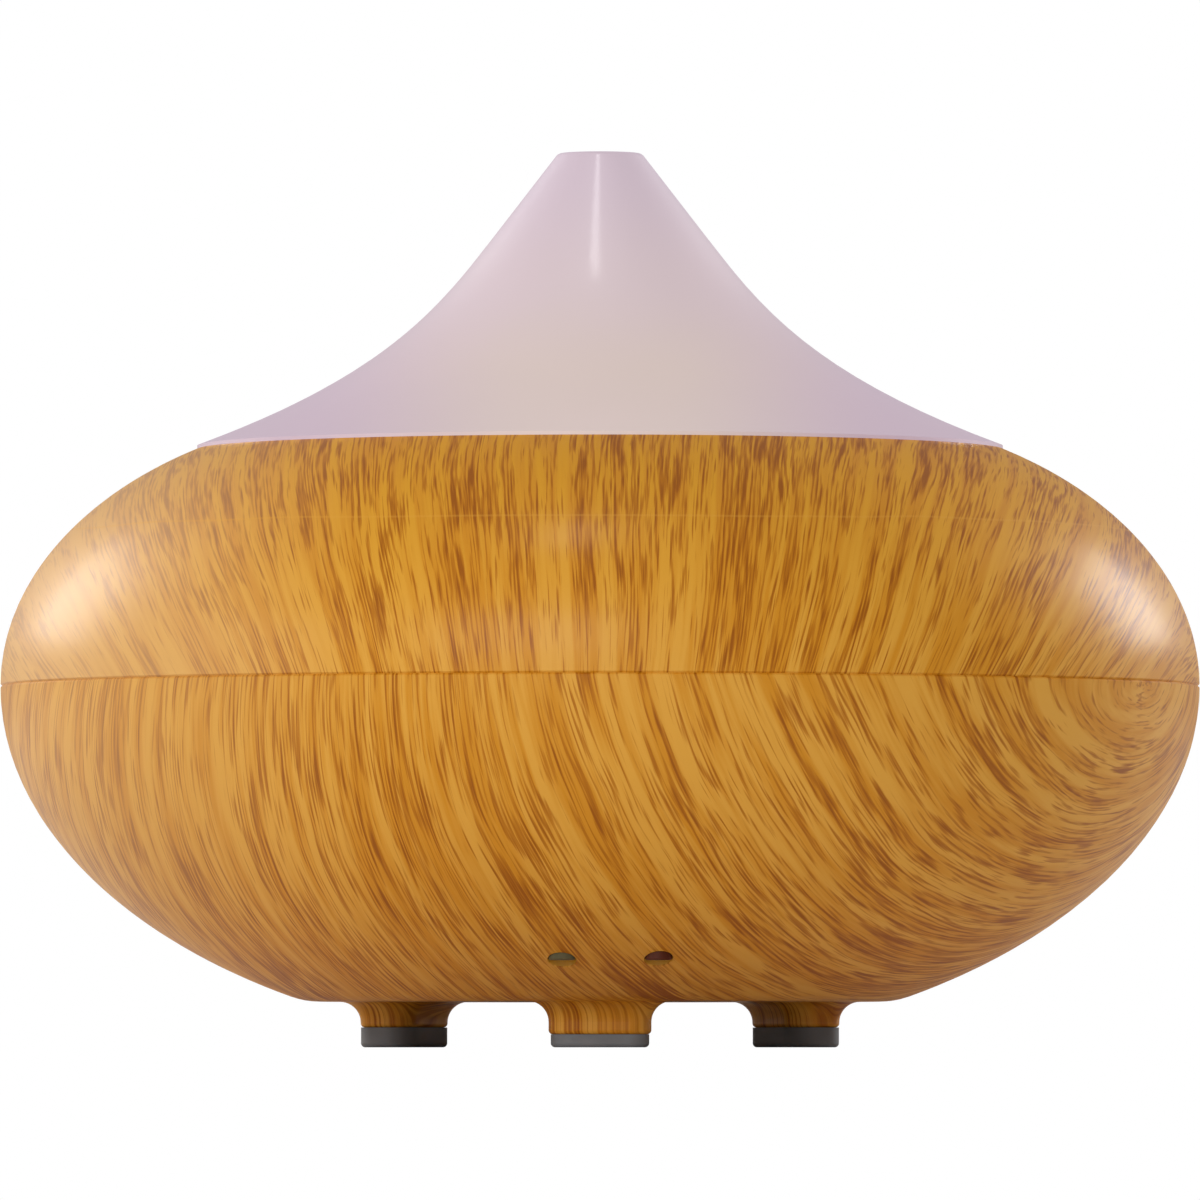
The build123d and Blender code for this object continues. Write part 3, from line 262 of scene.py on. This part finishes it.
def wood_film(name, z_flat, drawn, power, grain, strand_length, seed, outline_core, outline_rise,
              bare_from, unthinned, painted_sheen, mark_height=None):
    """The printed film on one shell, deeper in colour where it isn't thinned by stretching and paler
    towards its left side, a painted highlight for the sheen of the lamps on that side, and the bare
    resin inside it: a point is inside when it lies over film_depth within the shell's outline, a
    quarter ellipse that rises outline_rise about a circle of radius outline_core, and above
    bare_from."""
    material, tree, shader = start_material(name)
    film_x, film_y = film_place(tree, z_flat, seam_mm, drawn, power)
    film_at = socket_of(tree, "CombineXYZ", (film_x, film_y, seed))
    across, along = grain(tree, film_x, film_y)

    def wander(scale, amount):
        noise = socket_of(tree, "TexNoise", {"Vector": film_at, "Scale": scale, "Detail": 1.0})
        return calc(tree, "MULTIPLY", calc(tree, "SUBTRACT", noise, 0.5), amount)

    sway = calc(tree, "ADD", wander(0.012, 7.0), wander(0.055, 0.9))
    across = calc(tree, "ADD", across, sway)
    broad = streaks(tree, across, along, 9.0, 90.0, seed + 1)
    bands = streaks(tree, across, along, 2.2, 60.0, seed + 2, 3.0, 0.6)
    patches = streaks(tree, across, along, 2.2, 13.0, seed + 3, 2.0)
    uneven = streaks(tree, across, along, 3.2, 42.0, seed + 4, 1.0)
    ring = calc(tree, "ADD", across, calc(tree, "MULTIPLY", uneven, 6.0))
    ring = calc(tree, "SINE", calc(tree, "MULTIPLY", ring, 2 * math.pi / ring_spacing))
    strand = streaks(tree, across, along, strand_width, strand_length, seed + 5, 1.0)
    fibre = streaks(tree, across, along, fibre_width, 0.5 * strand_length, seed + 6, 1.0)
    x, _, z, radius = place_in_mm(tree)
    thinned = socket_of(tree, "MapRange", (z, z_flat, seam_mm, 0.0, 1.0))
    straw = blend_colour(tree, thinned, unthinned, film_straw)
    base = blend_colour(tree, ramp(tree, bands, 0.38, 0.62), film_gold, straw)
    level = calc(tree, "MULTIPLY", calc(tree, "SUBTRACT", broad, bands), 0.45)
    crowded = calc(tree, "MULTIPLY", calc(tree, "SUBTRACT", 1.0, thinned), 0.05)
    level = calc(tree, "ADD", level, crowded)
    for part, share in ((patches, 0.5), (ring, 0.08), (strand, 0.62), (fibre, 0.38)):
        level = calc(tree, "ADD", level, calc(tree, "MULTIPLY", part, share))
    colour = blend_colour(tree, ramp(tree, level, 0.745, 0.90, 0.0, 0.8), base, film_brown)
    colour = blend_colour(tree, ramp(tree, level, 0.88, 1.03, 0.0, 0.75), colour, film_dark)
    # Painted highlight: the film turns paler towards the left, as if lit there by the lamps on that
    # side.
    pale = ramp(tree, x, painted_sheen_starts, painted_sheen_ends, 0.0, painted_sheen)
    colour = blend_colour(tree, pale, colour, painted_sheen_colour)
    if mark_height:
        off = calc(tree, "ADD", calc(tree, "SUBTRACT", z, mark_height), wander(0.03, 1.2))
        off = calc(tree, "ABSOLUTE", off)
        mark = ramp(tree, off, 0.05, mark_half, 0.28, 0.0)
        colour = blend_colour(tree, mark, colour, film_straw)
    rise = calc(tree, "DIVIDE", calc(tree, "SUBTRACT", z, seam_mm), outline_rise)
    flat_share = calc(tree, "SUBTRACT", 1.0, calc(tree, "MULTIPLY", rise, rise))
    reach = calc(tree, "MULTIPLY", calc(tree, "SQRT", flat_share), body_mm - outline_core)
    depth = calc(tree, "SUBTRACT", reach, calc(tree, "SUBTRACT", radius, outline_core))
    within = ramp(tree, depth, film_depth, 1.5 * film_depth)
    above = ramp(tree, z, bare_from, bare_from + 0.2)
    colour = blend_colour(tree, calc(tree, "MULTIPLY", within, above), colour, bare_resin)
    tree.links.new(colour, shader.inputs["Base Color"])
    relief = socket_of(tree, "Bump", {"Strength": 0.15, "Distance": 0.00003, "Height": level})
    tree.links.new(relief, shader.inputs["Normal"])
    set_shader(shader, Roughness=0.5, Specular_IOR_Level=0.13, Coat_Weight=0.20,
               Coat_Roughness=0.26)
    return material


film_bottom = 6.4  # height at which the bowl meets the film
bowl_film = wood_film(
    "bowl_wood_film", film_bottom, drawn=20.1, power=2.2, grain=ring_grain, strand_length=14.0,
    seed=3.0, outline_core=1.3, outline_rise=50.5, bare_from=8.2, unthinned=film_straw,
    painted_sheen=0.28)
dress(bowl_film, "lower_shell")


# ------------------------------------------------------------------------------------------
# Foot pads.
# Three dark grey rubber pads with a fine matt skin, each pressed into its foot by a peg.
def cloud_of(tree, per_mm, detail=2.0):
    """Plain noise on the piece's own coordinates."""
    return socket_of(tree, "TexNoise", {"Vector": mm_vector(tree), "Scale": per_mm,
                                        "Detail": detail})


def paint(tree, shader, share, low, high):
    """Blends two colours into the shader's base colour."""
    tree.links.new(blend_colour(tree, share, low, high), shader.inputs["Base Color"])


def gloss(tree, shader, value, low, high, rough_low, rough_high):
    """Turns a value between two levels into the shader's roughness."""
    rough = ramp(tree, value, low, high, rough_low, rough_high)
    tree.links.new(rough, shader.inputs["Roughness"])


def emboss(tree, shader, height, strength, depth_mm):
    """Fine relief, whose depth in mm is for a height of 1."""
    relief = socket_of(tree, "Bump", {"Strength": strength, "Distance": depth_mm * 0.001,
                                      "Height": height})
    tree.links.new(relief, shader.inputs["Normal"])


def skin(name, colour, roughness, grain, relief, mottle=0.06, **more):
    """Moulded plastic or rubber: a fine eroded grain and its relief, both in mm, and a colour and a
    gloss that wander a little from place to place."""
    material, tree, shader = start_material(name)
    fine = cloud_of(tree, 1 / grain, 3.0)
    cloud = cloud_of(tree, 0.16)
    pale = tuple(min(1.0, c * (1 + mottle) + 0.3 * mottle * (1 - c)) for c in colour) + (1,)
    deep = tuple(c * (1 - mottle) for c in colour) + (1,)
    paint(tree, shader, ramp(tree, cloud, 0.3, 0.7), deep, pale)
    gloss(tree, shader, fine, 0.3, 0.7, roughness - 0.05, roughness + 0.05)
    emboss(tree, shader, fine, 0.3, relief)
    set_shader(shader, **more)
    return material


pad_rubber = skin("pad_rubber", (0.158, 0.168, 0.178), 0.62, 0.3, 0.02)
dress(pad_rubber, "foot_pad_front", "foot_pad_left", "foot_pad_right")

# ------------------------------------------------------------------------------------------
# Vent cover and base screws.
# An amber slotted disc in the same resin as the shell, held by two small screws, and three long
# zinc-plated screws in deep wells that clamp the shell to the tank.
vent_resin = skin("vent_resin", (0.34, 0.165, 0.036), 0.45, 0.35, 0.02)
dress(vent_resin, "vent_cover")


def plated(name, colour, roughness, grain=0.4, **more):
    """Plated or rolled metal: a soft cloud in its colour and a scatter of finer and coarser gloss."""
    material, tree, shader = start_material(name)
    cloud = cloud_of(tree, 0.7, 3.0)
    rub = cloud_of(tree, 1 / grain)
    tarnish = (1.0, 0.95, 0.84)
    warm = tuple(c * f for c, f in zip(colour, tarnish)) + (1,)
    paint(tree, shader, ramp(tree, cloud, 0.35, 0.75), colour + (1,), warm)
    gloss(tree, shader, rub, 0.3, 0.7, roughness - 0.07, roughness + 0.1)
    set_shader(shader, Metallic=1.0, **more)
    return material


zinc = plated("zinc_screw", (0.63, 0.63, 0.62), 0.32)
dress(zinc, "vent_screws", "base_screws", "fan_screws", "piezo_screws", "light_screws",
      "main_board_screws", "switch_board_screws", "jack_screws", "retainer_screws")

# ------------------------------------------------------------------------------------------
# Fan.
# A 40 mm black moulded frame on a foam gasket, with a sintered bronze bush, a steel core wound with
# copper and a bladed rotor on a steel shaft.
foam = skin("closed_foam", (0.018, 0.018, 0.018), 0.85, 0.5, 0.12)
dress(foam, "fan_gasket")
fan_black = skin("fan_black", (0.017, 0.017, 0.018), 0.4, 0.3, 0.015)
dress(fan_black, "fan_frame", "fan_rotor")
bronze = plated("sintered_bronze", (0.52, 0.33, 0.13), 0.45, 0.12)
dress(bronze, "fan_bush")
dress(plated("ground_steel", (0.6, 0.6, 0.61), 0.18, 0.15), "fan_shaft")
dress(skin("bonded_magnet", (0.045, 0.04, 0.038), 0.6, 0.2, 0.02), "fan_magnet")


def ripple(tree, value, pitch):
    """A sine wave of a value in mm, one wave for each pitch."""
    return calc(tree, "SINE", calc(tree, "MULTIPLY", value, 2 * math.pi / pitch))


def wound_core():
    """Thin copper turns, as rings round the axis on four poles, over a dull steel core."""
    material, tree, shader = start_material("wound_core")
    dull_steel, copper = (0.2, 0.19, 0.18, 1), (0.62, 0.22, 0.07, 1)
    x, y, _, radius = place_in_mm(tree)
    turn = calc(tree, "ARCTAN2", y, x)
    wires = ripple(tree, radius, 0.24)
    pole = calc(tree, "ABSOLUTE", calc(tree, "SINE", calc(tree, "MULTIPLY", turn, 2.0)))
    shaded = ramp(tree, wires, -1.0, 1.0, 0.6, 1.0)
    wound = calc(tree, "MULTIPLY", ramp(tree, pole, 0.35, 0.42), shaded)
    paint(tree, shader, wound, dull_steel, copper)
    emboss(tree, shader, wires, 0.5, 0.05)
    set_shader(shader, Metallic=0.9, Roughness=0.32)
    return material


dress(wound_core(), "fan_stator")

# ------------------------------------------------------------------------------------------
# Tank and air tower.
# One white polypropylene moulding, slightly see-through and satin, with a cap that turns the air
# from the fan over the water.
tank_white = skin("tank_white", (0.80, 0.80, 0.77), 0.38, 0.6, 0.012, 0.02, Subsurface_Weight=0.15,
                  Subsurface_Scale=0.002)
dress(tank_white, "water_tank", "air_tower_cap")

# ------------------------------------------------------------------------------------------
# Mist maker.
# A thin steel disc that shakes, glazed in its middle, in a soft silicone ring under a steel clamp.
silicone = skin("silicone_ring", (0.72, 0.72, 0.68), 0.35, 0.8, 0.01, 0.03, Subsurface_Weight=0.3,
                Subsurface_Scale=0.002)
dress(silicone, "piezo_seal")
dress(plated("clamp_steel", (0.55, 0.55, 0.54), 0.3, 0.25), "piezo_plate")


def shaking_disc():
    """Pale glaze in the disc's middle and turned rings of bare steel outside it."""
    material, tree, shader = start_material("glazed_steel")
    bare_steel, pale_glaze = (0.62, 0.6, 0.56, 1), (0.74, 0.72, 0.66, 1)
    glaze_radius = 6.0
    radius = place_in_mm(tree)[3]
    glaze = ramp(tree, radius, glaze_radius - 0.1, glaze_radius + 0.1, 1.0, 0.0)
    paint(tree, shader, glaze, bare_steel, pale_glaze)
    gloss(tree, shader, ripple(tree, radius, 0.35), -1.0, 1.0, 0.2, 0.34)
    tree.links.new(ramp(tree, glaze, 0.0, 1.0, 1.0, 0.35), shader.inputs["Metallic"])
    return material


dress(shaking_disc(), "piezo_disc")

# ------------------------------------------------------------------------------------------
# Light ring and main board.
# Glass-fibre boards, the ring white and the other green, printed with copper tracks under the
# mask, and the six lamps, coil, capacitors, heat sink and chip that are soldered to them.
def board(name, mask, track):
    """Solder mask over square-cornered tracks: the edges of Manhattan cells show through it."""
    material, tree, shader = start_material(name)
    cells_per_mm, tracks_per_cell = 0.32, 16.0
    cells = socket_of(tree, "TexVoronoi", {"Vector": mm_vector(tree), "Scale": cells_per_mm},
                      distance="MANHATTAN", feature="F1", voronoi_dimensions="2D")
    bands = calc(tree, "SINE", calc(tree, "MULTIPLY", cells, tracks_per_cell))
    copper = ramp(tree, bands, 0.35, 0.5)
    paint(tree, shader, copper, mask, track)
    emboss(tree, shader, copper, 0.4, 0.04)
    set_shader(shader, Roughness=0.3)
    return material


dress(board("white_board", (0.78, 0.78, 0.75, 1), (0.70, 0.70, 0.66, 1)), "light_board")
dress(board("green_board", (0.012, 0.10, 0.036, 1), (0.03, 0.19, 0.06, 1)),
      "main_board", "switch_board")
part_black = skin("part_black", (0.016, 0.016, 0.017), 0.45, 0.25, 0.015)
dress(part_black, "drive_transistor", "control_chip", "mist_switch", "light_switch",
      "power_jack")
dress(skin("capacitor_sleeve", (0.02, 0.022, 0.035), 0.25, 0.6, 0.005), "capacitors")
dress(plated("sink_aluminium", (0.72, 0.72, 0.73), 0.4, 0.2), "heat_sink")
dress(skin("socket_white", (0.74, 0.72, 0.66), 0.4, 0.4, 0.01), "plug_sockets", "jack_bracket")


def heights_of(name):
    """A node's lowest and highest points, in mm."""
    return [corner.z * mm_per_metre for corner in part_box(name)]


def wound_drum():
    """Copper turns in height round the drum's middle, between its dark ferrite ends."""
    material, tree, shader = start_material("wound_drum")
    ferrite, copper = (0.03, 0.03, 0.033, 1), (0.56, 0.2, 0.06, 1)
    low, high = heights_of("drive_coil")
    z = place_in_mm(tree)[2]
    wires = ripple(tree, z, 0.4)
    ends = calc(tree, "ABSOLUTE", calc(tree, "SUBTRACT", z, (low + high) / 2))
    wound = ramp(tree, ends, 0.3 * (high - low), 0.32 * (high - low), 1.0, 0.0)
    paint(tree, shader, wound, ferrite, copper)
    emboss(tree, shader, wires, 0.5, 0.1)
    set_shader(shader, Roughness=0.35)
    return material


dress(wound_drum(), "drive_coil")


def lamp_body():
    """Clear domes that glow warm white, a little less towards their feet."""
    material, tree, shader = start_material("lit_lamp")
    amber, warm_white = (0.9, 0.62, 0.42, 1), (1.0, 0.86, 0.78, 1)
    clear_dome = (0.9, 0.86, 0.76, 1)
    low, high = heights_of("lamps")
    glow = blend_colour(tree, ramp(tree, place_in_mm(tree)[2], low, high), amber, warm_white)
    tree.links.new(glow, shader.inputs["Emission Color"])
    set_shader(shader, Base_Color=clear_dome, Roughness=0.12, Emission_Strength=1.6)
    return material


dress(lamp_body(), "lamps")

# ------------------------------------------------------------------------------------------
# Buttons, power jack and leads.
# Two small caps in smoked resin in holes under the front, a grey one for the mist and a red-brown
# one for the light, each over a sealed switch. The jack has a plated pin. Sleeved leads join them.
cap_shine = 0.1
cap_grey = skin("cap_grey", (0.088, 0.074, 0.028), 0.35, 0.6, 0.006, 0.1,
                Specular_IOR_Level=cap_shine)
cap_red = skin("cap_red", (0.082, 0.015, 0.003), 0.35, 0.6, 0.006, 0.1,
               Specular_IOR_Level=cap_shine)
dress(cap_grey, "mist_button")
dress(cap_red, "light_button", "mist_switch_plunger", "light_switch_plunger")
dress(plated("nickel_pin", (0.66, 0.62, 0.56), 0.15, 0.3), "jack_pin")
dress(skin("lead_red", (0.42, 0.018, 0.014), 0.42, 0.5, 0.01),
      "fan_lead", "piezo_lead", "jack_lead")
dress(skin("lead_white", (0.66, 0.65, 0.62), 0.42, 0.5, 0.01), "light_lead", "switch_lead")

# ------------------------------------------------------------------------------------------
# Splash lid.
# White polypropylene like the tank, domed, with a tapering chimney that leads the mist up.
dress(tank_white, "splash_lid")

# ------------------------------------------------------------------------------------------
# Upper shell.
# The lift-off cover, printed with its own piece of film, so its grain doesn't meet the bowl's. The
# film is drawn down from the rim. A faint pale line runs round it where the mould's halves met.
film_rim = 83.8  # height of the upper shell's rim, where its film starts
film_amber = (0.70, 0.315, 0.008, 1)
dome_film = wood_film(
    "dome_wood_film", film_rim, drawn=17.2, power=1.93, grain=straight_grain, strand_length=9.0,
    seed=41.0, outline_core=28.3, outline_rise=38.5, bare_from=0.0, unthinned=film_amber,
    painted_sheen=0.55, mark_height=72.2)
dress(dome_film, "upper_shell")


# ------------------------------------------------------------------------------------------
# Mist cone.
# One thin moulding in milky resin, satin outside, with a painted glow, emission standing in for the
# light of the lamps under the tank: warmer low down, and lilac towards the tip. Four screws and a
# white ring hold it in the upper shell.
def milky_resin():
    """Painted glow, emission standing in for the lamps' light through the resin, that turns from warm
    to lilac with height, with painted shade that makes it dimmer and more lilac out to the left and
    right sides, and a faint cloud, under a satin surface."""
    material, tree, shader = start_material("milky_resin")
    warm_glow, pink_glow = (1.08, 0.88, 0.68, 1), (0.99, 0.80, 0.79, 1)
    tip_glow, painted_side_shade_glow = (0.86, 0.69, 0.84, 1), (0.78, 0.55, 0.72, 1)
    milk, paler_milk = (0.39, 0.32, 0.35, 1), (0.42, 0.34, 0.37, 1)
    lilac_sheen = (0.75, 0.6, 0.9, 1)
    low, high = heights_of("mist_cone")
    x, _, z, _ = place_in_mm(tree)
    cloud = cloud_of(tree, 0.05)
    drift = calc(tree, "MULTIPLY", calc(tree, "SUBTRACT", cloud, 0.5), 5.0)
    height = calc(tree, "ADD", z, drift)
    # Painted shade: the glow dims and turns lilac towards the left and right sides.
    side = ramp(tree, calc(tree, "ABSOLUTE", x), 8.0, 42.0)
    glow = blend_colour(tree, ramp(tree, height, low + 12, low + 26), warm_glow, pink_glow)
    glow = blend_colour(tree, ramp(tree, height, low + 22, high), glow, tip_glow)
    glow = blend_colour(tree, side, glow, painted_side_shade_glow)
    # Painted glow: the resin gives out light of its own, in place of the lamps' light shining through
    # it.
    tree.links.new(glow, shader.inputs["Emission Color"])
    paint(tree, shader, cloud, milk, paler_milk)
    emboss(tree, shader, cloud_of(tree, 4.0), 0.15, 0.01)
    set_shader(shader, Roughness=0.45, Sheen_Weight=0.12, Sheen_Tint=lilac_sheen,
               Emission_Strength=0.31, Coat_Weight=0.3, Coat_Roughness=0.14)
    return material


dress(milky_resin(), "mist_cone")
dress(tank_white, "cone_retainer")
